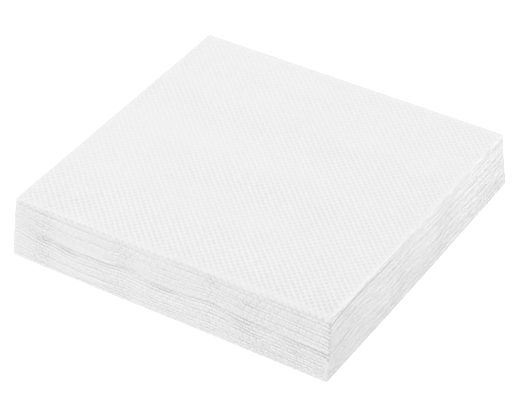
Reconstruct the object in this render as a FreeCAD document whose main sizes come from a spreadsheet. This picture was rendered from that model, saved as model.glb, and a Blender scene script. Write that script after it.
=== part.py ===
import FreeCAD, Part
import math
import os

import Sketcher
from FreeCAD import Vector

# A stack of square paper napkins, each cut as one sheet of embossed tissue and folded in four.
# Origin: middle of the footprint of the bottom napkin, on the surface that the stack rests on.
# The last fold of every napkin faces -Y, the first fold faces -X, and the cut edges face +X and +Y.
# Lengths are in millimetres, angles in degrees.

os.makedirs("parts", exist_ok=True)
doc = FreeCAD.newDocument("napkin_stack")

NAPKINS = 20

# The sizes that drive the stack: name, value, what it is.
SIZES = [
    ("bottom_side", "166.6", "side of the bottom napkin once it is folded"),
    ("side_step", "0.17", "how much each napkin has spread out less than the one below it"),
    ("leaf", "0.295", "thickness of one leaf, two plies of embossed tissue"),
    ("leaf_gap", "0.03", "air between the two leaves of one half"),
    ("open_gap", "0.03", "air between the two halves at the cut edges"),
    ("fold_height", "1.54", "height of a napkin over its last fold"),
    ("rest_gap", "0.03", "air between a napkin and the one it rests on"),
    ("crease", "0.3", "how far the pressed first fold runs out past the flat leaves"),
    ("edge_step", "0.4", "most that one cut edge stands back from another"),
    ("slip", "0.15", "most that one napkin has slid from the line of the stack"),
    ("slip_angle", "0.06", "most that one napkin has turned from the line of the stack"),
    ("lean_x", "1.0", "how far the top napkin stands off centre along X"),
    ("lean_y", "1.6", "how far the top napkin is pushed back along Y"),
    ("stack_twist", "0.77", "turn of the top napkin against the bottom one"),
    ("waist", "0.5", "how far the folds stand back at half height"),
]

# The napkins differ from each other in these ways. Each way has a step of its own, in radians from one
# napkin to the next, so that no two ways go up and down together.
SLIP_STEP = {"x": 2.6, "y": 4.1}
TURN_STEP = 1.9
BACK_EDGE_STEP = {"lower": 2.1, "upper": 3.7}
SIDE_EDGE_STEP = {"lower": 1.3, "upper": 4.4}

# Where the folds stand back, as shares of the height of the stack: the middle, and how far it spreads.
WAIST_MIDDLE = 0.5
WAIST_SPREAD = 0.1

# Sizes that follow from the ones above.
DERIVED = [
    ("half", "=2 * leaf + leaf_gap", "thickness of one half: two leaves and the air between"),
    ("bend_radius", "=(fold_height - half) / 2", "radius of the middle of a half at the last fold"),
    (
        "wedge",
        "=atan((fold_height - 2 * half - open_gap) / (bottom_side - fold_height / 2))",
        "angle between the halves",
    ),
    ("pitch", "=fold_height + rest_gap", "distance between the folds of two napkins"),
]

sheet = doc.addObject("Spreadsheet::Sheet", "sizes")
for row, (name, value, note) in enumerate(SIZES + DERIVED, start=1):
    sheet.set(f"A{row}", name)
    sheet.set(f"B{row}", value)
    sheet.set(f"C{row}", note)
    sheet.setAlias(f"B{row}", name)
doc.recompute()


def scatter(index, step):
    """An uneven share from -1 to 1 for napkin number index: a sine with a step that never repeats."""
    return math.sin(step * (index + 1))


def origin_plane(body, role):
    """The plane with that role in the body's own origin."""
    return next(plane for plane in body.Origin.OriginFeatures if plane.Role == role)


def add_sketch(body, name, role):
    """An empty sketch that lies on one of the body's origin planes."""
    sketch = body.newObject("Sketcher::SketchObject", name)
    sketch.AttachmentSupport = (origin_plane(body, role), "")
    sketch.MapMode = "FlatFace"
    return sketch


def set_size(sketch, constraint, name, expression):
    """Adds a constraint whose value follows an expression over the sizes."""
    index = sketch.addConstraint(constraint)
    sketch.renameConstraint(index, name)
    sketch.setExpression(f"Constraints.{name}", expression)


def draw_hairpin(sketch, side, lower_back, upper_back):
    """Section of one half of a napkin, seen along Y: the sheet doubled over at the first fold.

    It is a closed outline of ten lines. The first fold, at -X, is a pressed crease: two bevels and a blunt
    tip. The two leaves end at the cut edges at +X, each set back by its own amount. The slot between them
    is open at the cut edges and ends inside the crease, one leaf short of its tip.
    """
    leaf = sheet.leaf
    half = sheet.half
    reach = sheet.bottom_side / 2
    crease_start = -reach + sheet.crease
    slot_end = -reach + leaf
    corners = [
        Vector(crease_start, 0, 0),
        Vector(reach, 0, 0),
        Vector(reach, leaf, 0),
        Vector(slot_end, leaf, 0),
        Vector(slot_end, half - leaf, 0),
        Vector(reach, half - leaf, 0),
        Vector(reach, half, 0),
        Vector(crease_start, half, 0),
        Vector(-reach, (half + leaf) / 2, 0),
        Vector(-reach, (half - leaf) / 2, 0),
    ]
    for start, end in zip(corners, corners[1:] + corners[:1]):
        sketch.addGeometry(Part.LineSegment(start, end), False)
    under, lower_cut, slot_floor, slot_back, slot_roof, upper_cut, top, _, tip, _ = range(len(corners))
    for line in range(len(corners)):
        following = (line + 1) % len(corners)
        sketch.addConstraint(Sketcher.Constraint("Coincident", line, 2, following, 1))
    for line in (under, slot_floor, slot_roof, top):
        sketch.addConstraint(Sketcher.Constraint("Horizontal", line))
    for line in (lower_cut, slot_back, upper_cut, tip):
        sketch.addConstraint(Sketcher.Constraint("Vertical", line))
    sketch.addConstraint(Sketcher.Constraint("PointOnObject", under, 1, -1))
    # Each height is measured between the ends of an upright line.
    for name, line, low, high, size in (
        ("lower_leaf", lower_cut, 1, 2, "sizes.leaf"),
        ("upper_leaf", upper_cut, 1, 2, "sizes.leaf"),
        ("slot_width", slot_back, 1, 2, "sizes.leaf_gap"),
        ("tip_height", tip, 2, 1, "sizes.leaf"),
    ):
        set_size(sketch, Sketcher.Constraint("DistanceY", line, low, line, high, leaf), name, size)
    set_size(
        sketch,
        Sketcher.Constraint("DistanceY", -1, 1, tip, 2, (half - leaf) / 2),
        "tip_middle",
        "(sizes.half - sizes.leaf) / 2",
    )
    # Each reach is measured from the middle of the napkin, towards the crease or towards the cut edges.
    for name, line, end, towards_crease, size in (
        ("crease_under", under, 1, True, f"({side}) / 2 - sizes.crease"),
        ("crease_top", top, 2, True, f"({side}) / 2 - sizes.crease"),
        ("crease_tip", tip, 1, True, f"({side}) / 2"),
        ("slot_end", slot_back, 1, True, f"({side}) / 2 - sizes.leaf"),
        ("lower_reach", lower_cut, 1, False, f"({side}) / 2 - {lower_back}"),
        ("upper_reach", upper_cut, 1, False, f"({side}) / 2 - {upper_back}"),
    ):
        ends = (line, end, -1, 1) if towards_crease else (-1, 1, line, end)
        set_size(sketch, Sketcher.Constraint("DistanceX", *ends, reach), name, size)


def draw_fold_path(sketch, side, lower_back, upper_back):
    """Path of the middle of that half, seen along X: in from the cut edge, round the last fold, back out.

    The lower run is level. The bend turns by half a turn and the wedge angle, so that the upper run comes
    down to the lower one at the cut edges.
    """
    half = sheet.half
    radius = sheet.bend_radius
    wedge = math.radians(sheet.wedge.Value)
    run = sheet.bottom_side - sheet.fold_height / 2
    middle = Vector(0, sheet.fold_height / 2, 0)
    top = middle + Vector(radius * math.sin(wedge), radius * math.cos(wedge), 0)
    open_end = top + Vector(run * math.cos(wedge), -run * math.sin(wedge), 0)
    lower = sketch.addGeometry(Part.LineSegment(Vector(run, half / 2, 0), Vector(0, half / 2, 0)), False)
    bend_circle = Part.Circle(middle, Vector(0, 0, 1), radius)
    bend = sketch.addGeometry(
        Part.ArcOfCircle(bend_circle, math.radians(90) - wedge, math.radians(270)), False
    )
    upper = sketch.addGeometry(Part.LineSegment(top, open_end), False)
    sketch.addConstraint(Sketcher.Constraint("Tangent", lower, 2, bend, 2))
    sketch.addConstraint(Sketcher.Constraint("Tangent", bend, 1, upper, 1))
    sketch.addConstraint(Sketcher.Constraint("Horizontal", lower))
    sketch.addConstraint(Sketcher.Constraint("PointOnObject", bend, 3, -2))
    set_size(sketch, Sketcher.Constraint("Radius", bend, radius), "bend_radius", "sizes.bend_radius")
    set_size(
        sketch,
        Sketcher.Constraint("DistanceY", -1, 1, bend, 3, middle.y),
        "bend_height",
        "sizes.fold_height / 2",
    )
    set_size(
        sketch,
        Sketcher.Constraint("DistanceX", -1, 1, lower, 1, run),
        "lower_run",
        f"{side} - sizes.fold_height / 2 - {lower_back}",
    )
    set_size(
        sketch,
        Sketcher.Constraint("Distance", upper, run),
        "upper_run",
        f"{side} - sizes.fold_height / 2 - {upper_back}",
    )
    set_size(
        sketch, Sketcher.Constraint("Angle", upper, -wedge), "upper_slope", "-sizes.wedge"
    )


def step_back(index, step):
    """A cut edge's set-back, from nothing to the whole edge step, uneven from napkin to napkin."""
    share = (1 + scatter(index, step)) / 2
    return f"sizes.edge_step * {share:.3f}"


def slide(index, axis):
    """How far napkin number index lies off the line of the bottom one, along X or Y."""
    share = index / (NAPKINS - 1)
    slipped = f"sizes.slip * {scatter(index, SLIP_STEP[axis]):.3f}" if index else "0"
    terms = [slipped, f"sizes.lean_{axis} * {share:.4f}"]
    if axis == "y":
        # The folds near half height stand back, which leaves a groove between two bundles.
        waist_share = math.exp(-(((share - WAIST_MIDDLE) / WAIST_SPREAD) ** 2))
        terms.append(f"sizes.waist * {waist_share:.3f}")
    return " + ".join(terms)


def fold_napkin(index):
    """One napkin: its doubled section is carried along the path of the last fold, as a single sheet."""
    name = f"napkin_{index + 1:02d}"
    side = f"sizes.bottom_side - sizes.side_step * {index}"
    body = doc.addObject("PartDesign::Body", name)
    body.Label = name
    path = add_sketch(body, f"{name}_fold_path", "YZ_Plane")
    lower_back = step_back(index, BACK_EDGE_STEP["lower"])
    draw_fold_path(path, side, lower_back, step_back(index, BACK_EDGE_STEP["upper"]))
    hairpin = add_sketch(body, f"{name}_hairpin", "XZ_Plane")
    draw_hairpin(
        hairpin, side, step_back(index, SIDE_EDGE_STEP["lower"]), step_back(index, SIDE_EDGE_STEP["upper"])
    )
    hairpin.setExpression(
        "AttachmentOffset.Base.z", f"-({side} - sizes.fold_height / 2 - {lower_back})"
    )
    sweep = body.newObject("PartDesign::AdditivePipe", f"{name}_sheet")
    sweep.Profile = hairpin
    sweep.Spine = path
    return body


def rest_on_surface(body):
    """The bottom napkin lies flat, with its footprint centred on the origin."""
    body.setExpression("Placement.Base.y", "-sizes.bottom_side / 2 + sizes.fold_height / 2")


def rest_on_napkin(body, below, index):
    """Lays a napkin on the one below: fold over fold, tilted by its wedge, slid and turned in its plane."""
    fold_middle = "vector(0; 0; sizes.fold_height / 2)"
    tilt = "rotation(vector(1; 0; 0); -sizes.wedge)"
    up = "vector(0; 0; sizes.pitch - sizes.fold_height / 2)"
    level = "rotation(vector(0; 0; 1); 0)"
    moved_x, moved_y = (f"({slide(index, axis)}) - ({slide(index - 1, axis)})" for axis in "xy")
    uneven = scatter(index, TURN_STEP) - scatter(index - 1, TURN_STEP)
    turned = f"sizes.stack_twist / {NAPKINS - 1} + sizes.slip_angle * {uneven:.3f}"
    body.setExpression(
        "Placement",
        f"{below.Name}.Placement"
        f" * placement({fold_middle}; {tilt})"
        f" * placement({up}; {level})"
        f" * placement(vector({moved_x}; {moved_y}; 0); rotation(vector(0; 0; 1); {turned}))",
    )


napkins = []
for index in range(NAPKINS):
    napkins.append(fold_napkin(index))
    if index == 0:
        rest_on_surface(napkins[0])
    else:
        rest_on_napkin(napkins[index], napkins[index - 1], index)
doc.recompute()

for item in doc.Objects:
    if {"Invalid", "Error"} & set(item.State):
        raise RuntimeError(f"{item.Label} failed: {item.State}")
for napkin in napkins:
    if napkin.Shape.isNull() or not napkin.Shape.isValid() or len(napkin.Shape.Solids) != 1:
        raise RuntimeError(f"{napkin.Label} is not one valid solid")
for napkin in napkins:
    napkin.Shape.exportStep(f"parts/{napkin.Label}.step")
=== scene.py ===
from math import pi, radians
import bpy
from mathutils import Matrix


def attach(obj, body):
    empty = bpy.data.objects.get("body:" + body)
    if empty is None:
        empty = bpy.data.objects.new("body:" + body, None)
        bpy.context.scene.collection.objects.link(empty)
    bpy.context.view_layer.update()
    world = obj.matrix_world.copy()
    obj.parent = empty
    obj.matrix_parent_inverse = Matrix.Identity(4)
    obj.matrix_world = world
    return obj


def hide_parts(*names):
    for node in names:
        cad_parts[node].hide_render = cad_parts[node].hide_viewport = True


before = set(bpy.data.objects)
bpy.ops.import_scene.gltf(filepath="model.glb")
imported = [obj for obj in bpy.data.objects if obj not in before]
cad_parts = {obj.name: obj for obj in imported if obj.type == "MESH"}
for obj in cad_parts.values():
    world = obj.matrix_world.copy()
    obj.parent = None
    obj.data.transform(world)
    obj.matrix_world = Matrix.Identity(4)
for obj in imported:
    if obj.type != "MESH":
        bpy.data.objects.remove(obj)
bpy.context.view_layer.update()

from types import SimpleNamespace

import bpy
import numpy as np

# Camera
# It looks down on the corner between the folds and the cut edges, from far off through a long lens.
# The two slides shift it sideways and up, so that the stack sits in the frame as in the photograph.
AZIMUTH = radians(31.865)
ELEVATION = radians(37.856)
DISTANCE = 1.1472
SLIDE_RIGHT = -0.00197
SLIDE_UP = 0.00455
LENS_MM = 170.31
SENSOR_MM = 36

camera = bpy.data.objects.new("camera", bpy.data.cameras.new("camera"))
bpy.context.scene.collection.objects.link(camera)
camera.data.sensor_width = SENSOR_MM
camera.data.lens = LENS_MM
camera.rotation_euler = (radians(90) - ELEVATION, 0, AZIMUTH)
turned = np.array(camera.rotation_euler.to_matrix())
camera.location = turned @ (SLIDE_RIGHT, SLIDE_UP, DISTANCE)
bpy.context.scene.camera = camera


# Floor and light
# A plain white studio sweep that glows like a light table, so that the ground is pure white and the stack
# throws no grey shadow on it. The sky is an even white. A soft key lamp stands high on the left, and a
# weak soft fill lamp stands low on the right, towards the cut edges.
def add_node(tree, kind, settings=None, **links):
    """Adds a node to a tree. Settings go by attribute or input name, links by input name to a socket."""
    node = tree.nodes.new(kind)
    for name, value in (settings or {}).items():
        if name in node.inputs:
            node.inputs[name].default_value = value
        else:
            setattr(node, name, value)
    for name, socket in links.items():
        tree.links.new(socket, node.inputs[name.replace("_", " ")])
    return node


def linear(hex_colour):
    """Turns an sRGB hex colour into linear red, green, blue and alpha."""
    share = np.array([int(hex_colour[at:at + 2], 16) for at in (1, 3, 5)]) / 255
    low = share / 12.92
    high = ((share + 0.055) / 1.055) ** 2.4
    return (*np.where(share <= 0.04045, low, high), 1.0)


def new_material(name):
    """An empty node material with its output node."""
    material = bpy.data.materials.new(name)
    material.use_nodes = True
    material.node_tree.nodes.clear()
    return material, add_node(material.node_tree, "ShaderNodeOutputMaterial")


SWEEP_SIZE = 12.0
SWEEP_COLOUR = "#808080"
SWEEP_GLOW = 1.10
SKY_STRENGTH = 0.56
LAMPS = {
    "key_lamp": {"size": 0.7, "watts": 15.4, "place": (-0.80, -0.36, 1.60)},
    "fill_lamp": {"size": 0.5, "watts": 2.3, "place": (0.66, 0.54, 0.26)},
}

sweep_paint, output = new_material("white studio sweep")
paint = add_node(
    sweep_paint.node_tree,
    "ShaderNodeBsdfPrincipled",
    {"Base Color": linear(SWEEP_COLOUR), "Roughness": 0.9, "Specular IOR Level": 0.0,
     "Emission Color": linear("#ffffff"), "Emission Strength": SWEEP_GLOW},
)
sweep_paint.node_tree.links.new(paint.outputs["BSDF"], output.inputs["Surface"])

half_sweep = SWEEP_SIZE / 2
sweep_corners = [(-half_sweep, -half_sweep, 0), (half_sweep, -half_sweep, 0),
                 (half_sweep, half_sweep, 0), (-half_sweep, half_sweep, 0)]
sweep_mesh = bpy.data.meshes.new("studio_sweep")
sweep_mesh.from_pydata(sweep_corners, [], [(0, 1, 2, 3)])
sweep_mesh.materials.append(sweep_paint)
sweep = bpy.data.objects.new("studio_sweep", sweep_mesh)
bpy.context.scene.collection.objects.link(sweep)

sky = bpy.data.worlds.new("white sky")
bpy.context.scene.world = sky
sky.use_nodes = True
sky.node_tree.nodes.clear()
sky_light = add_node(sky.node_tree, "ShaderNodeBackground",
                     {"Color": linear("#ffffff"), "Strength": SKY_STRENGTH})
add_node(sky.node_tree, "ShaderNodeOutputWorld", Surface=sky_light.outputs["Background"])

for name, sizes in LAMPS.items():
    lamp = bpy.data.objects.new(name, bpy.data.lights.new(name, "AREA"))
    bpy.context.scene.collection.objects.link(lamp)
    lamp.data.shape = "DISK"
    lamp.data.size = sizes["size"]
    lamp.data.energy = sizes["watts"]
    lamp.location = sizes["place"]
    lamp.rotation_euler = (-lamp.location).to_track_quat("-Z", "Y").to_euler()
bpy.context.scene.view_settings.view_transform = "Standard"
bpy.context.scene.view_settings.look = "None"


# Embossed tissue
# Two plies of bleached wood-pulp tissue, dry-creped and pressed together between rollers with round pins.
# It is matt and lets a little light in, and its felt of short fibres shows as a fine grain. Cut edges are
# drawn darker and streaked along the leaves: painted shade for the light that sinks in between the plies.
# The dents and dashes of the embossing are drawn darker too, as painted shade in them.
PULP_WHITE = "#f7f7f7"
# The darker colour: grain and clouds mix towards it as the paper's own tone, and dents, dashes and cut edges
# mix towards it as painted shade.
PULP_TONE_AND_SHADE = "#e0e0e0"

# Single fibres are some 0.02 mm wide, too fine to show, so the grain is drawn as coarse as their clumps.
# Each pattern has its size in millimetres, its shade from PULP_WHITE towards PULP_TONE_AND_SHADE, and its depth.
FIBRE_GRAIN = 0.55
GRAIN_SHADE = 0.75
GRAIN_DEPTH = 0.04
CLOUD_SIZE = 22.0
CLOUD_SHADE = 0.12
STREAK_LENGTH = 9.0
STREAK_HEIGHT = 0.48
# The felt's middle lies below the mean of streaks and grain, so the cut edges come out darker: painted shade.
CUT_SHADE_MIDDLE = 0.96
FELT_TONE_AND_SHADE = 1.8
FELT_DEPTH = 0.17

# A furrow joins the dents of one diagonal row, with steep sides, and is faint between the dents.
FURROW_STEEPNESS = 1.6
FURROW_TONE = 0.15
# The dents are darkened in colour by this much at full depth: painted shade in them.
DENT_PAINTED_SHADE = 0.33
DASH_SHARPNESS = 12.0
# The dashes over the folds are darkened in colour by this much: painted shade in them.
DASH_PAINTED_SHADE = 0.42
DASH_DEPTH = 0.06

MM = 1000
# The colour sockets of a Mix node share their names with others, so they go by number.
MIX_SHARE, MIX_FROM, MIX_TO, MIX_RESULT = 0, 6, 7, 2

tissue, output = new_material("embossed two-ply tissue")
tree = tissue.node_tree


def calculate(operation, *values):
    """A math node of the tissue's tree. Each of its inputs is a number or a socket."""
    node = add_node(tree, "ShaderNodeMath", {"operation": operation})
    for socket, value in zip(node.inputs, values):
        if isinstance(value, (int, float)):
            socket.default_value = value
        else:
            tree.links.new(value, socket)
    return node.outputs["Value"]


def wave(turns):
    """1 where the turns are a whole number and 0 halfway between: a raised cosine."""
    cosine = calculate("COSINE", calculate("MULTIPLY", turns, 2 * pi))
    return calculate("MULTIPLY_ADD", cosine, 0.5, 0.5)


def painted(name):
    """A strength that the mesh carries at each of its points."""
    return add_node(tree, "ShaderNodeAttribute", {"attribute_name": name}).outputs["Fac"]


def noise(place, settings):
    """A noise of 0 to 1 over a place, mostly near a half."""
    return add_node(tree, "ShaderNodeTexNoise", settings, Vector=place).outputs["Fac"]


place = add_node(tree, "ShaderNodeTexCoord").outputs["Object"]
in_mm = add_node(tree, "ShaderNodeMapping", {"Scale": (MM, MM, MM)}, Vector=place).outputs["Vector"]
grain = noise(in_mm, {"Scale": 1 / FIBRE_GRAIN, "Detail": 3.0, "Roughness": 0.6})
clouds = noise(in_mm, {"Scale": 1 / CLOUD_SIZE, "Detail": 2.0})

# The dots and furrows of the embossing, over the sheet's own places, counted in pins. They only darken the
# colour: painted shade in the dents.
sheet_place = add_node(tree, "ShaderNodeUVMap", {"uv_map": "pins"}).outputs["UV"]
parts = add_node(tree, "ShaderNodeSeparateXYZ", Vector=sheet_place)
across_pins, along_pins = parts.outputs["X"], parts.outputs["Y"]
between_rows = calculate("SUBTRACT", 1.0, wave(calculate("ADD", across_pins, along_pins)))
furrows = calculate("SUBTRACT", 1.0, calculate("POWER", between_rows, FURROW_STEEPNESS))
other_rows = wave(calculate("SUBTRACT", across_pins, along_pins))
painted_dent_shade = calculate("MULTIPLY", furrows, calculate("MULTIPLY_ADD", other_rows, 1 - FURROW_TONE, FURROW_TONE))
painted_dent_shade = calculate("MULTIPLY", painted_dent_shade, painted("painted_dent_shade"))

# Short dashes across the folds, one for each column of pins that runs over them. They dent the surface by
# bump and darken its colour as painted shade in them.
dashes = calculate("POWER", wave(across_pins), DASH_SHARPNESS)
dashes = calculate("MULTIPLY", dashes, painted("dashes"))

# The felt of the cut edges: streaks along the leaves, mixed with the grain. It sets the cut edges darker on
# the whole, as painted shade. Its streaks are partly the felt's own tone and partly painted shade between the
# leaves.
split = add_node(tree, "ShaderNodeSeparateXYZ", Vector=in_mm)
edge_place = add_node(
    tree, "ShaderNodeCombineXYZ",
    X=calculate("DIVIDE", calculate("ADD", split.outputs["X"], split.outputs["Y"]), STREAK_LENGTH),
    Y=calculate("DIVIDE", split.outputs["Z"], STREAK_HEIGHT),
).outputs["Vector"]
streaks = noise(edge_place, {"Scale": 1.0, "Detail": 4.0, "Roughness": 0.7})
felt = calculate("SUBTRACT", calculate("ADD", streaks, grain), CUT_SHADE_MIDDLE)
felt = calculate("MULTIPLY", felt, painted("cut"))

shade = calculate("MULTIPLY", painted_dent_shade, DENT_PAINTED_SHADE)
shade = calculate("ADD", calculate("MULTIPLY", grain, GRAIN_SHADE), shade)
shade = calculate("ADD", calculate("MULTIPLY", dashes, DASH_PAINTED_SHADE), shade)
shade = calculate("ADD", calculate("MULTIPLY", felt, FELT_TONE_AND_SHADE), shade)
shade = calculate("ADD", calculate("MULTIPLY", clouds, CLOUD_SHADE), shade)
colour = add_node(tree, "ShaderNodeMix", {"data_type": "RGBA"})
tree.links.new(shade, colour.inputs[MIX_SHARE])
colour.inputs[MIX_FROM].default_value = linear(PULP_WHITE)
colour.inputs[MIX_TO].default_value = linear(PULP_TONE_AND_SHADE)

relief = calculate("MULTIPLY", grain, GRAIN_DEPTH)
relief = calculate("ADD", calculate("MULTIPLY", felt, FELT_DEPTH), relief)
relief = calculate("SUBTRACT", relief, calculate("MULTIPLY", dashes, DASH_DEPTH))
bump = add_node(tree, "ShaderNodeBump", {"Strength": 1.0, "Distance": 1 / MM}, Height=relief)
paper = add_node(
    tree,
    "ShaderNodeBsdfPrincipled",
    {"Roughness": 0.92, "Specular IOR Level": 0.15, "Subsurface Weight": 0.6,
     "Subsurface Radius": (1.0, 1.0, 1.0), "Subsurface Scale": 0.4 / MM},
    Base_Color=colour.outputs[MIX_RESULT],
    Normal=bump.outputs["Normal"],
)
tree.links.new(paper.outputs["BSDF"], output.inputs["Surface"])


# Napkins
# Twenty squares of that tissue, each folded in four: doubled at the first fold, which faces -X, and then
# doubled again at the last fold, which faces -Y. Each is one closed skin round its four leaves.
# All sizes below are millimetres. The sizes and the places of the napkins are those of the solids.
NAPKINS = 20
BOTTOM_SIDE = 166.6
SIDE_STEP = 0.17
LEAF = 0.295
LEAF_GAP = 0.03
HALF = 2 * LEAF + LEAF_GAP
OPEN_GAP = 0.03
FOLD_HEIGHT = 1.54
REST_GAP = 0.03
CREASE = 0.3
EDGE_STEP = 0.4
SLIP = 0.15
SLIP_ANGLE = radians(0.06)
LEAN_X = 1.0
LEAN_Y = 1.6
STACK_TWIST = radians(0.77)
WAIST = 0.5
WEDGE = np.arctan((FOLD_HEIGHT - 2 * HALF - OPEN_GAP) / (BOTTOM_SIDE - FOLD_HEIGHT / 2))


def scatter(index, step):
    """An uneven share from -1 to 1 for napkin number index: a sine with a step that never repeats."""
    return np.sin(step * (index + 1))


def moved(x, y, z):
    """A 4 x 4 matrix that slides by x, y, z."""
    matrix = np.eye(4)
    matrix[:3, 3] = x, y, z
    return matrix


def turned_about(axis, angle):
    """A 4 x 4 matrix that turns about the axis x (0) or z (2)."""
    matrix = np.eye(4)
    first, second = {0: (1, 2), 2: (0, 1)}[axis]
    matrix[first, first] = matrix[second, second] = np.cos(angle)
    matrix[first, second] = -np.sin(angle)
    matrix[second, first] = np.sin(angle)
    return matrix


def slip_of(index, step):
    """How far a napkin has slipped. The bottom one hasn't."""
    return SLIP * scatter(index, step) if index else 0.0


def slide(index):
    """How far a napkin lies off the line of the bottom one: its slip, the lean and the waist of the stack."""
    share = index / (NAPKINS - 1)
    waist = WAIST * np.exp(-((10 * share - 5) ** 2))
    return slip_of(index, 2.6) + LEAN_X * share, slip_of(index, 4.1) + LEAN_Y * share + waist


def stack_places():
    """The 4 x 4 place of each napkin, each resting on the wedge of the one below."""
    places = [moved(0, -BOTTOM_SIDE / 2 + FOLD_HEIGHT / 2, 0)]
    for index in range(1, NAPKINS):
        now, before = slide(index), slide(index - 1)
        turn = STACK_TWIST / (NAPKINS - 1) + SLIP_ANGLE * (scatter(index, 1.9) - scatter(index - 1, 1.9))
        places.append(
            places[-1]
            @ moved(0, 0, FOLD_HEIGHT / 2)
            @ turned_about(0, -WEDGE)
            @ moved(0, 0, FOLD_HEIGHT / 2 + REST_GAP)
            @ moved(now[0] - before[0], now[1] - before[1], 0)
            @ turned_about(2, turn)
        )
    return places


# The soft stack
# Paper that has lain in a pile swells and sinks along its sides. The whole stack is bent as one soft
# block, so that napkins which lay flat on each other still do.
HEIGHT_AT_FOLDS = 31.4
FALL_TO_BACK = 5.4

# How much higher than level the middle of the stack lies along each side: (share of the side, millimetres).
# The crimped bands stand high. The rise dies out with SIDE_REACH, and LEVEL_MIDDLE keeps the middle flat.
RISE_AT_FOLDS = [(0.0, 3.1), (0.12, 0.0), (0.21, -1.7), (0.3, -1.4), (0.36, -0.2), (0.47, -1.6),
                 (0.57, -1.2), (0.63, -0.2), (0.8, -2.3), (1.0, -3.6)]
RISE_AT_CUTS = [(0.0, -3.6), (0.14, -0.6), (0.35, -3.4), (0.42, -1.6), (0.59, -3.8), (0.68, -1.6),
                (0.87, -3.8), (1.0, -2.6)]
RISE_AT_CREASES = [(0.0, 3.1), (0.2, 0.6), (0.36, 1.6), (0.5, -0.4), (0.64, 1.2), (0.85, -0.8), (1.0, 0.5)]
RISE_AT_BACK = [(0.0, 0.5), (0.2, -1.2), (0.36, 0.8), (0.5, -0.6), (0.64, 0.9), (0.85, -1.0), (1.0, -2.6)]
SIDE_REACH = 14.0
LEVEL_MIDDLE = 0.03
BANDS_AT_FOLDS = (0.09, 0.355, 0.635, 0.905)
BAND_WIDTH = 0.038
PINCHES_AT_CUTS = (0.33, 0.64)
PINCH_WIDTH = 0.009
PINCH_DEPTH = 0.5

# How much fuller than the solids the soft stack is at the top, how its top rounds down at the sides, and
# how far the napkins under the top one sink at the folds, which makes its nose look tall.
LOFT = 1.5
LOFT_AT_CORNER = 0.7
ROUNDING = {"folds": 0.35, "cuts": 0.22, "creases": 0.2}
ROUNDING_REACH = 3.0
TOP_NAPKIN_LEVEL = 0.951
SUNK = 0.5
SUNK_AT_CORNER = 0.8
SUNK_REACH = 8.0

# Short waves in the thickness of the napkins: (height, length, phase, rise in which the phase turns by 1).
RIPPLE_SHARE = 0.45
RIPPLES_ALONG_X = [(0.22, 31.0, 1.0, 1.6), (0.14, 13.0, 2.0, -0.9)]
RIPPLES_ALONG_Y = [(0.22, 27.0, 0.4, 1.5), (0.14, 11.0, 1.3, -0.8)]

# The groove along the folds at half height, which starts shallow and has a shallow place in its third band.
GROOVE_HEIGHT = 15.5
GROOVE_DEPTH = 0.55
GROOVE_SPREAD = 1.7
GROOVE_AT_START = 0.3
GROOVE_SHALLOW = 0.35
GROOVE_REACH = 6.0

# The cut edges in layers up the stack: (depth, height, phase, length in which the phase turns by 1).
LAYERS = [(0.08, 7.3, 0.5, 60.0), (0.04, 3.1, 1.0, -35.0)]
EDGE_REACH = 3.0
FOOT = 0.5
FOOT_LEVEL = 0.8
FOOT_REACH = 20.0


def ease(at, start, end):
    """A smooth step from 0 at start to 1 at end."""
    share = np.clip((at - start) / (end - start), 0, 1)
    return share * share * (3 - 2 * share)


def hump(at, centre, width):
    """A bell curve: 1 at the centre, and 1 over e at the width."""
    return np.exp(-(((at - centre) / width) ** 2))


def fading(gap, reach):
    """1 at a side and dying out inwards: 1 over e for each reach of gap."""
    return np.exp(-np.maximum(gap, 0) / reach)


def ripple(at, length, phase):
    """A sine wave of that length in millimetres."""
    return np.sin(2 * np.pi * at / length + phase)


def drawn_through(at, knots):
    """A wavy line that is level at each knot (place, height) and eases by half a cosine between them."""
    places, heights = np.array(knots).T
    after = np.clip(np.searchsorted(places, at), 1, len(places) - 1)
    share = np.clip((at - places[after - 1]) / (places[after] - places[after - 1]), 0, 1)
    mix = (1 - np.cos(np.pi * share)) / 2
    return heights[after - 1] * (1 - mix) + heights[after] * mix


def bands(share):
    """1 in the middle of each crimped band across the folds, falling off to 0 between them."""
    return sum(hump(share, centre, BAND_WIDTH) for centre in BANDS_AT_FOLDS)


def swell(spot, gaps):
    """The rise of the fold lines: each side's own wavy line, weighed by how near that side is.

    It is whole at half height and falls to nothing at the floor and the top, as a half sine.
    """
    rises = {
        "folds": drawn_through(spot.along_x, RISE_AT_FOLDS),
        "cuts": drawn_through(spot.along_y, RISE_AT_CUTS),
        "creases": drawn_through(spot.along_y, RISE_AT_CREASES),
        "back": drawn_through(spot.along_x, RISE_AT_BACK),
    }
    near = {side: fading(gap, SIDE_REACH) for side, gap in gaps.items()}
    total = sum(share ** 2 for share in near.values()) + LEVEL_MIDDLE
    rise = sum(near[side] ** 2 * rises[side] for side in near) / total
    return rise * np.sin(np.pi * np.clip(spot.level, 0, 1))


def thickness_ripples(x, y, z, spot, gaps):
    """Short waves up and down that change with height, so that napkins are thicker and thinner by turns."""
    short = 0
    for at, waves in ((x, RIPPLES_ALONG_X), (y, RIPPLES_ALONG_Y)):
        for high, length, phase, climb in waves:
            short = short + high * ripple(at, length, phase + z / climb)
    sides = np.minimum(sum(fading(gap, SIDE_REACH) for gap in gaps.values()), 1.0)
    return RIPPLE_SHARE * sides * spot.off_floor * (1 - ease(spot.level, 0.75, 1.0)) * short


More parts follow.
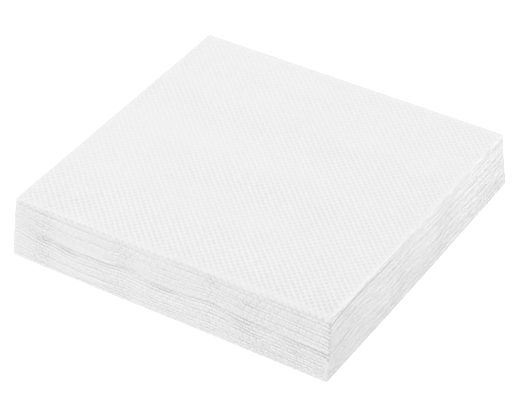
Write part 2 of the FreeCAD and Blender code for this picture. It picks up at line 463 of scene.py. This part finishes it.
def rounding_down(spot, gaps):
    """How far the top rounds down at its sides, and how far the napkins under it sink at the folds."""
    down = ease(spot.level, 0.72, 1.0) * sum(
        ROUNDING[side] * fading(gaps[side], ROUNDING_REACH) for side in ROUNDING)
    under_top = ease(spot.level, 0.55, TOP_NAPKIN_LEVEL) * (1 - ease(spot.level, TOP_NAPKIN_LEVEL, 1.0))
    sunk = SUNK + SUNK_AT_CORNER * ease(spot.along_x, 0.55, 0.9)
    return down + sunk * under_top * fading(gaps["folds"], SUNK_REACH)


def settle(points):
    """Bends the whole stack: every point moves by amounts that depend only on where it lies.

    Up: the loft in proportion to the height, the swell, the ripples, less the rounding of the top.
    Along Y: the folds at half height are pulled back into a groove, and those near the floor spread out.
    Along X: the cut edges stand in and out in layers, are pinched in two places, and spread at the foot.
    """
    x, y, z = points.T
    reach = BOTTOM_SIDE / 2
    along_x, along_y = x / BOTTOM_SIDE + 0.5, y / BOTTOM_SIDE + 0.5
    level = np.clip(z / (HEIGHT_AT_FOLDS - FALL_TO_BACK * along_y), 0, 1.05)
    spot = SimpleNamespace(along_x=along_x, along_y=along_y, level=level, off_floor=np.tanh(z / 3.0))
    gaps = {"folds": y + reach, "cuts": reach - x, "creases": x + reach, "back": reach - y}
    foot = FOOT * (1 - ease(level, 0.0, FOOT_LEVEL))

    corner = ease(along_x, 0.3, 1.0) * (1 - ease(along_y, 0.0, 0.5))
    up = (LOFT + LOFT_AT_CORNER * corner) * level + swell(spot, gaps)
    up = up + thickness_ripples(x, y, z, spot, gaps) - rounding_down(spot, gaps)

    groove = GROOVE_DEPTH * hump(z, GROOVE_HEIGHT, GROOVE_SPREAD)
    groove = groove * (GROOVE_AT_START + (1 - GROOVE_AT_START) * ease(along_x, 0.0, 0.08))
    groove = groove * (1 - GROOVE_SHALLOW * hump(along_x, 0.64, 0.05))
    wavy = 0.10 * spot.off_floor * ripple(x, 58.0, z / 2.4)
    back = (groove + wavy) * fading(gaps["folds"], GROOVE_REACH)
    back = back - foot * fading(gaps["folds"], FOOT_REACH)

    pinch = sum(hump(along_y, centre, PINCH_WIDTH) for centre in PINCHES_AT_CUTS)
    out = -PINCH_DEPTH * pinch * (1 - ease(level, 0.8, 1.0))
    for deep, high, phase, length in LAYERS:
        out = out + deep * ripple(z, high, phase + y / length)
    out = out * fading(gaps["cuts"], EDGE_REACH) * spot.off_floor
    middle = np.sin(np.pi * np.clip(along_y, 0, 1)) ** 0.6
    out = out + foot * middle * fading(gaps["cuts"], FOOT_REACH)
    return np.stack([x + out, y + back, z + up], axis=1)


# Folded sheets
# Each napkin's skin is a grid over its sheet: columns once round the doubled section at the first fold,
# rows along the lower half, round the last fold and back along the upper half. Only the top napkin, whose
# embossing is seen, is fine all over. The others are fine at their last folds.
PINS = 48
STEPS_PER_PIN = 6
ACROSS = PINS * STEPS_PER_PIN
FEW_ACROSS = [0, 1, 3, 8, 18, 36, 60, 90, 126, 162, 198, 228, 252, 270, 280, 285, ACROSS]
FEW_ACROSS_TOP = [0, 2, 12, 48, 144, 240, 276, 286, ACROSS]
CREASE_COLUMNS = 5
EDGE_BULGE = 0.05
BEND_ROWS = 15
ROWS_NEAR_BEND = [0.4, 1.1, 2.2]
ROWS_BEYOND = 88
ROWS_BELOW_TOP = 24
PINS_ALONG_TOP = 46
ROWS_TO_EDGE = [5, 3.2, 1.8, 0.8, 0]


def section_columns(side, top):
    """The columns: outer face from crease to cut edge, cut edge, back inside, cut edge, inner face, crease.

    Each has its share across the sheet, its height in the half, its leaf (0 outer, 1 inner), and how far
    it bulges past the line of the cut edge or the crease. Away from the last fold only the kept columns
    of the outer face are used.
    """
    picks = np.array(FEW_ACROSS_TOP if top else FEW_ACROSS)
    few = picks / ACROSS
    count = len(few)
    turns = np.linspace(0, np.pi, CREASE_COLUMNS + 2)[1:-1]
    across = np.concatenate([np.arange(ACROSS + 1) / ACROSS, [1.0], few[::-1], few, [1.0], few[::-1],
                             np.zeros(CREASE_COLUMNS)])
    height = np.concatenate([
        np.zeros(ACROSS + 1), [LEAF / 2], np.full(count, LEAF), np.full(count, HALF - LEAF),
        [HALF - LEAF / 2], np.full(count, HALF), HALF / 2 + HALF / 2 * np.cos(turns)])
    bulge = np.zeros(len(across))
    bulge[ACROSS + 1] = bulge[ACROSS + 2 + 2 * count] = EDGE_BULGE
    bulge[-CREASE_COLUMNS:] = -CREASE * np.sin(turns)
    inner = np.concatenate([np.zeros(ACROSS + 2 + count), np.ones(2 * count + 1), 0.5 + 0.5 * np.cos(turns)])
    kept = np.ones(len(across), bool)
    kept[:ACROSS + 1] = False
    kept[picks] = True
    return dict(across=across, height=height, bulge=bulge, inner=inner, kept=kept, picks=picks,
                few=count, columns=len(across))


def run_rows(side, top):
    """The rows: distance from the bend (minus on the lower half) and angle round it, from below to above."""
    run = side - FOLD_HEIGHT / 2
    pin = (side - CREASE) / PINS
    if top:
        lower = run * np.linspace(1, 0, ROWS_BELOW_TOP)[:-1] ** 1.6
        upper = np.arange(1, PINS_ALONG_TOP * STEPS_PER_PIN + 1) * pin / STEPS_PER_PIN
        upper = np.concatenate([upper, run - np.array(ROWS_TO_EDGE)])
        near_lower, near_upper = 0, len(upper) - 1
    else:
        upper = np.concatenate([ROWS_NEAR_BEND, np.linspace(3.6, run - 1, ROWS_BEYOND), [run]])
        lower = upper[::-1]
        near_lower = near_upper = len(ROWS_NEAR_BEND)
    bend = np.linspace(-np.pi / 2, np.pi / 2 + WEDGE, BEND_ROWS)
    distance = np.concatenate([-lower, np.zeros(BEND_ROWS), upper])
    angle = np.concatenate([np.full(len(lower), bend[0]), bend, np.full(len(upper), bend[-1])])
    fine = np.zeros(len(distance), bool)
    fine[len(lower) - near_lower:len(lower) + BEND_ROWS + near_upper] = True
    return dict(run=run, pin=pin, distance=distance, angle=angle, fine=fine, rows=len(distance))


def end_cap(row, grid):
    """Closes the skin at one end of the run: two leaves, each a strip of squares, joined at the crease."""
    few = grid.few
    base = ACROSS + 2
    outer = row[grid.picks]
    slot_floor = row[base:base + few][::-1]
    slot_roof = row[base + few:base + 2 * few]
    tips = row[[ACROSS + 1, base + 2 * few]]
    inside = row[base + 2 * few + 1:base + 3 * few + 1][::-1]
    round_crease = np.concatenate([[inside[0]], row[-CREASE_COLUMNS:], [outer[0]]])
    return [
        np.stack([outer[:-1], outer[1:], slot_floor[1:]], 1),
        np.stack([outer[:-1], slot_floor[1:], slot_floor[:-1]], 1),
        np.stack([slot_roof[:-1], slot_roof[1:], inside[1:]], 1),
        np.stack([slot_roof[:-1], inside[1:], inside[:-1]], 1),
        np.array([[outer[-1], tips[0], slot_floor[-1]], [slot_roof[-1], tips[1], inside[-1]]]),
        np.stack([round_crease[:3], round_crease[1:4], np.full(3, slot_roof[0])], 1),
        np.array([[round_crease[3], slot_floor[0], slot_roof[0]]]),
        np.stack([round_crease[3:-1], round_crease[4:], np.full(3, slot_floor[0])], 1),
    ]


def skin_triangles(grid):
    """Joins the rows into a closed skin: squares between like rows, fans between unlike ones, two ends."""
    every = np.arange(grid.columns)
    coarse = every[grid.kept]
    at = np.arange(grid.rows * grid.columns).reshape(grid.rows, grid.columns)
    triangles = []
    for low in range(grid.rows - 1):
        if grid.fine[low] == grid.fine[low + 1]:
            picks = every if grid.fine[low] else coarse
            here, above = at[low, picks], at[low + 1, picks]
            beside, diagonal = np.roll(here, -1), np.roll(above, -1)
            triangles += [np.stack([here, beside, diagonal], 1), np.stack([here, diagonal, above], 1)]
            continue
        dense, sparse = (low, low + 1) if grid.fine[low] else (low + 1, low)
        last = np.searchsorted(coarse, every, side="right") - 1
        many, some = at[dense], at[sparse, coarse]
        fan = np.stack([many, np.roll(many, -1), some[last]], 1)
        closing = np.stack([some, at[dense, np.roll(coarse, -1)], np.roll(some, -1)], 1)
        if dense > sparse:
            fan, closing = fan[:, ::-1], closing[:, ::-1]
        triangles += [fan, closing]
    triangles += [part[:, ::-1] for part in end_cap(at[0], grid)]
    triangles += end_cap(at[-1], grid)
    return np.concatenate(triangles)


# Cut edges
# The blade that cuts the sheets leaves each leaf a little short or long, and slightly frayed. On the
# napkin at the top the two upper leaves part at the front corner, where the stack has been handled.
LEAF_SHORT = 0.22
EDGE_WAVES = [(0.03, 41.0, 3.1), (0.02, 17.0, 1.7)]
FRAY = 0.10
FRAY_SPOTS = 400
CUT_REACH = 9
CORNER_END = (0.30, 0.38)
NEXT_TO_TOP_SHORT = 0.35
LOWER_LEAVES_SHORT = 0.65
TOP_LEAF_LONG = 0.3


def set_back(index, leaf, generator, first, places, length):
    """How far each leaf's cut edge stands back: its own share, a long and a short wave, and fraying.

    All of it grows with height, because the upper napkins lie looser.
    """
    phase = 6.0 * scatter(index, 5.3)
    share = 0.5 + 0.5 * np.sin(first * (index + 1) + 2.4 * leaf)
    waves = 0
    for turn, (deep, wave_length, step) in enumerate(EDGE_WAVES, 1):
        waves = waves + deep * ripple(places, wave_length, step * leaf + turn * phase)
    fray = generator.uniform(-0.5, 0.5, (4, FRAY_SPOTS))
    spots = np.clip((places / length * (FRAY_SPOTS - 1)).astype(int), 0, FRAY_SPOTS - 1)
    frayed = fray[np.round(leaf).astype(int), spots]
    loose = 0.6 + 0.8 * index / (NAPKINS - 1)
    return loose * (LEAF_SHORT * EDGE_STEP * share + waves + FRAY * frayed)


def cut_edges(index, grid, sheet):
    """How far the cut edges stand back on +X and on +Y."""
    generator = np.random.default_rng(100 + index)
    back_x = set_back(index, sheet.leaf, generator, 1.3, sheet.reach, grid.run)
    back_y = set_back(index, sheet.leaf, generator, 2.1, sheet.flat_x, grid.side)
    front_corner = 1 - ease(sheet.reach, CORNER_END[0] * grid.side, CORNER_END[1] * grid.side)
    if index == NAPKINS - 2:
        back_x = back_x + NEXT_TO_TOP_SHORT * front_corner
    if grid.top:
        top_leaf = sheet.upper * (1 - grid.inner)
        wavy = 0.07 + 0.07 * ripple(sheet.reach, 23.0, 0) + 0.05 * ripple(sheet.reach, 10.3, 1.0)
        parted = LOWER_LEAVES_SHORT * (1 - top_leaf) - TOP_LEAF_LONG * top_leaf
        back_x = back_x * 0.4 + wavy + front_corner * parted
        back_y = back_y * (1 - 0.9 * top_leaf)
    return back_x, back_y


# Embossing
# Round pins dent the sheet from its outer face. They stand on a square lattice turned on its corner, 2.4 mm
# apart along its rows and 3.4 mm, or 48 to a folded side, from corner to corner. The dents are deepest on
# the top napkin, and show on the others at the folds.
TOP_DENT = 0.28
FOLD_DENT = 0.08
CRIMP_DENT = 0.14
CREASE_DENT = 0.14
FURROW_SHARE = 0.22
UNEVEN_DENTS = 0.18
TOP_RAISED = 0.6

# Where the rollers pressed harder or weaker on the top napkin: gain, centre and width across the sheet,
# centre and width along it. The last four are shares of the side.
PRESSED_PATCHES = [
    (-0.48, 0.15, 0.5, 0.52, 0.08),
    (-0.30, 0.3, 0.7, 0.94, 0.08),
    (-0.25, 0.35, 0.5, 0.27, 0.07),
    (0.15, 0.6, 0.3, 0.40, 0.06),
    (-0.15, 0.1, 0.2, 0.38, 0.06),
    (0.50, 1.0, 0.10, 0.0, 0.06),
]
# A short slanting crease in the top leaf, near the left corner: its middle and its direction.
TUCK_AT = (24.0, 14.0)
TUCK_WAY = (0.555, 0.832)
TUCK_LENGTH = 11.0


def pin_places(index, grid, sheet):
    """Where each point lies in the lattice, counted in pins, with slow waves that draw it out of true."""
    flat_x, flat_y = sheet.flat_x, sheet.flat_y
    drift_x = 0.12 * np.sin(flat_y / 9.0 + 1.3) + 0.1 * np.sin(flat_y / 3.7 + flat_x / 21.0)
    drift_y = 0.12 * np.sin(flat_x / 8.0 + 0.7) + 0.1 * np.sin(flat_x / 4.1 + flat_y / 17.0)
    shifted = 0 if grid.top else 0.5 * scatter(index, 7.7)
    return (flat_x + drift_x) / grid.pin + shifted, (flat_y + drift_y) / grid.pin


def dents(pins_x, pins_y):
    """From 0 to about 1: furrows along one diagonal, deepest where the rows of the other one cross them."""
    furrows = (1 + np.cos(2 * np.pi * (pins_x + pins_y))) / 2
    crossings = (1 + np.cos(2 * np.pi * (pins_x - pins_y))) / 2
    patchy = np.sin(2.1 * pins_x + 1.7 * pins_y)
    uneven = 1 + UNEVEN_DENTS * patchy * np.sin(1.3 * pins_y - 0.6 * pins_x + 1.0)
    furrows = 1 - (1 - furrows) ** FURROW_STEEPNESS
    return uneven * furrows * (FURROW_SHARE + (1 - FURROW_SHARE) * crossings)


def top_depth(grid, sheet, off_ends):
    """How deep the dents of the top napkin are: the rollers' pressure, fading out at the fold and edges."""
    share_x, share_y = sheet.flat_x / grid.side, sheet.flat_y / grid.side
    pressed = 1.0 + 0.10 * (2 * share_x - 1)
    pressed = pressed + 0.25 * hump(share_y, 0, 0.14) - 0.33 * hump(share_y, 0.77, 0.06)
    for gain, centre_x, width_x, centre_y, width_y in PRESSED_PATCHES:
        pressed = pressed + gain * hump(share_x, centre_x, width_x) * hump(share_y, centre_y, width_y)
    from_fold = (0.4 + 0.6 * ease(sheet.flat_y, 1.0, 5.0)) * ease(sheet.flat_y, -1.6, -0.6)
    return TOP_DENT * pressed * off_ends * ease(grid.run - sheet.flat_y, 0.2, 2.0) * from_fold


def fold_depth(index, grid, sheet, off_ends):
    """How deep the dents over a fold are: shallow, deeper in the crimped bands and towards the front."""
    share_x = sheet.flat_x / grid.side
    crimp = np.maximum(bands(share_x), 0.7 * ease(share_x, 0.5, 0.85))
    return (FOLD_DENT + CRIMP_DENT * crimp) * (index > 0) * off_ends * sheet.at_fold


def top_creases(sheet):
    """The line pressed in along the top napkin's fold, and the two short lines of the tuck."""
    line = hump(sheet.flat_y, 0.3 * np.sin(sheet.flat_x / 27.0) - 0.3, 0.35)
    off_x, off_y = sheet.flat_x - TUCK_AT[0], sheet.flat_y - TUCK_AT[1]
    along = TUCK_WAY[0] * off_x + TUCK_WAY[1] * off_y
    across = TUCK_WAY[1] * off_x - TUCK_WAY[0] * off_y
    tuck = hump(across, 0, 0.55) + 0.6 * hump(across, 3.0, 0.5)
    return line + sheet.upper * tuck * np.exp(-((along / TUCK_LENGTH) ** 4))


# The last fold
# Paper folded over paper doesn't bend as a half circle: the nose is flatter, and stands out unevenly along
# the side. Near the top of the stack it is flatter still, and the front corners of the upper napkins sag.
PRESSED_FLAT_FROM = 16
SAGGING_FROM = 8


def bent_round(index, grid, sheet, x, distance, height):
    """Carries the section along the run and round the bend.

    Below and above, points lie at their distance along Y, the upper half falling with the wedge. Round the
    bend they lie at a radius, with the cosine raised to a small power to flatten the nose.
    """
    phase = 6.0 * scatter(index, 5.3)
    roundness = 0.35 if index >= PRESSED_FLAT_FROM else 1.0
    flat_x = sheet.flat_x
    radius = FOLD_HEIGHT / 2 - height
    cosine, sine = np.cos(sheet.angle), np.sin(sheet.angle)
    power = roundness * (0.11 + 0.08 * np.sin(flat_x / 19.0 + 2 * phase))
    nose = np.where(cosine > 0, np.abs(cosine) ** power, cosine)
    away = (0.05 * ripple(flat_x, 61, phase) + 0.04 * ripple(flat_x, 26, 2 * phase)
            + 0.02 * ripple(flat_x, 9.7, 3 * phase) + 0.7 * slip_of(index, 4.1))
    stand = roundness * away * np.exp(-np.abs(distance) / 5.0)
    along = np.where(distance < 0, -distance, distance * np.cos(WEDGE))
    fall = np.where(distance < 0, 0, distance * np.sin(WEDGE))
    sag = (index >= SAGGING_FROM) * (1.0 + 0.4 * scatter(index, 3.1))
    sag = sag * np.exp((x - grid.side / 2) / 1.1 - np.abs(distance) / 1.2) * np.clip(sine, 0, 1)
    y = -radius * nose + along - stand
    z = FOLD_HEIGHT / 2 + radius * sine - fall - sag
    return np.stack([x, y, z], axis=-1)


def flat_sheet(grid):
    """Each point's place on the sheet as it lies flat, measured from the crease and from the last fold."""
    distance = grid.distance[:, None] + np.zeros(grid.columns)
    angle = grid.angle[:, None]
    upper = (angle > 0) * 1.0
    flat_y = distance + FOLD_HEIGHT / 2 * (angle - WEDGE / 2)
    return SimpleNamespace(
        flat_x=grid.across * (grid.side - CREASE),
        flat_y=flat_y,
        angle=angle,
        reach=np.abs(distance),
        distance=distance,
        upper=upper,
        leaf=grid.inner + 2 * upper,
        at_fold=hump(np.maximum(np.abs(flat_y) - 1.2, 0), 0, 1.5),
    )


def skin_points(index, grid):
    """The skin's points in the napkin's own frame, their places in pins, and the marks for the material."""
    sheet = flat_sheet(grid)
    side, run = grid.side, grid.run
    outer = grid.height == 0

    back_x, back_y = cut_edges(index, grid, sheet)
    nominal = -side / 2 + CREASE + sheet.flat_x
    twisted = SLIP_ANGLE * (scatter(index, 1.9) - scatter(0, 1.9)) * sheet.reach
    back_x = back_x + 0.7 * slip_of(index, 2.6) - 0.9 * twisted
    x = nominal + grid.bulge - back_x * ease(nominal, side / 2 - CUT_REACH, side / 2)
    distance = sheet.distance * (1 - ease(sheet.reach, run - CUT_REACH, run) * back_y / run)

    pins_x, pins_y = pin_places(index, grid, sheet)
    flat_width = side - CREASE
    off_ends = np.minimum(ease(sheet.flat_x, 0.2, 2.5), ease(flat_width - sheet.flat_x, 0.2, 2.5))
    if grid.top:
        depth = top_depth(grid, sheet, off_ends)
        creases = top_creases(sheet)
        pressed_in = depth * (dents(pins_x, pins_y) - TOP_RAISED) + CREASE_DENT * creases
        # The deeper the dents and the pressed creases, the darker their colour: painted shade in them.
        painted_dent_shade, dashes = depth / TOP_DENT + creases, np.zeros_like(distance)
    else:
        depth = fold_depth(index, grid, sheet, off_ends)
        pressed_in = depth * dents(pins_x, pins_y)
        share_x = sheet.flat_x / side
        # Dashes over the folds dent the surface and darken its colour as painted shade: more in the crimped
        # bands, towards the front, and at two more places along the side.
        shown = 0.3 + 0.7 * np.maximum(bands(share_x), 0.8 * ease(share_x, 0.5, 0.85))
        shown = shown + 0.5 * hump(share_x, 0.49, 0.06) + 0.5 * hump(share_x, 0.77, 0.06)
        painted_dent_shade, dashes = np.zeros_like(distance), shown * sheet.at_fold * outer
    points = bent_round(index, grid, sheet, x, distance, grid.height + pressed_in * outer)
    cut = 1.0 * (nominal > side / 2 - 0.5) + (sheet.reach > run - 0.3)
    return points, np.stack([pins_x, pins_y], axis=-1), {"painted_dent_shade": painted_dent_shade, "dashes": dashes, "cut": cut}


# The stack, from the bottom up
# Each napkin's skin is laid in its place, bent with the whole stack, and stands in for its solid. It rests
# on the napkin below and is fixed to nothing.
def napkin_mesh(name, points, triangles, pins, marks):
    """A mesh of the triangles' points, with the pins as its UV map and each mark as an attribute."""
    used, triangles = np.unique(triangles, return_inverse=True)
    triangles = triangles.reshape(-1, 3)
    mesh = bpy.data.meshes.new(name)
    mesh.vertices.add(len(used))
    mesh.vertices.foreach_set("co", points[used].astype(np.float32).ravel())
    mesh.loops.add(triangles.size)
    mesh.loops.foreach_set("vertex_index", triangles.astype(np.int32).ravel())
    mesh.polygons.add(len(triangles))
    mesh.polygons.foreach_set("loop_start", np.arange(0, triangles.size, 3, dtype=np.int32))
    mesh.update(calc_edges=True)
    corners = pins.reshape(-1, 2)[used][triangles.ravel()]
    mesh.uv_layers.new(name="pins").data.foreach_set("uv", corners.astype(np.float32).ravel())
    for mark, strength in marks.items():
        layer = mesh.attributes.new(mark, "FLOAT", "POINT")
        layer.data.foreach_set("value", strength.ravel()[used].astype(np.float32))
    mesh.validate()
    mesh.shade_smooth()
    mesh.set_sharp_from_angle(angle=radians(55))
    mesh.materials.append(tissue)
    return mesh


places = stack_places()
for index in range(NAPKINS):
    node = f"napkin_{index + 1:02d}"
    top = index == NAPKINS - 1
    side = BOTTOM_SIDE - SIDE_STEP * index
    grid = SimpleNamespace(side=side, top=top, **section_columns(side, top), **run_rows(side, top))
    points, pins, marks = skin_points(index, grid)
    points = points.reshape(-1, 3) @ places[index][:3, :3].T + places[index][:3, 3]
    mesh = napkin_mesh(f"folded_{node}", settle(points) / MM, skin_triangles(grid), pins, marks)
    napkin = bpy.data.objects.new(f"folded_{node}", mesh)
    bpy.context.scene.collection.objects.link(napkin)
    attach(napkin, "root")
    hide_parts(node)

bpy.context.view_layer.update()
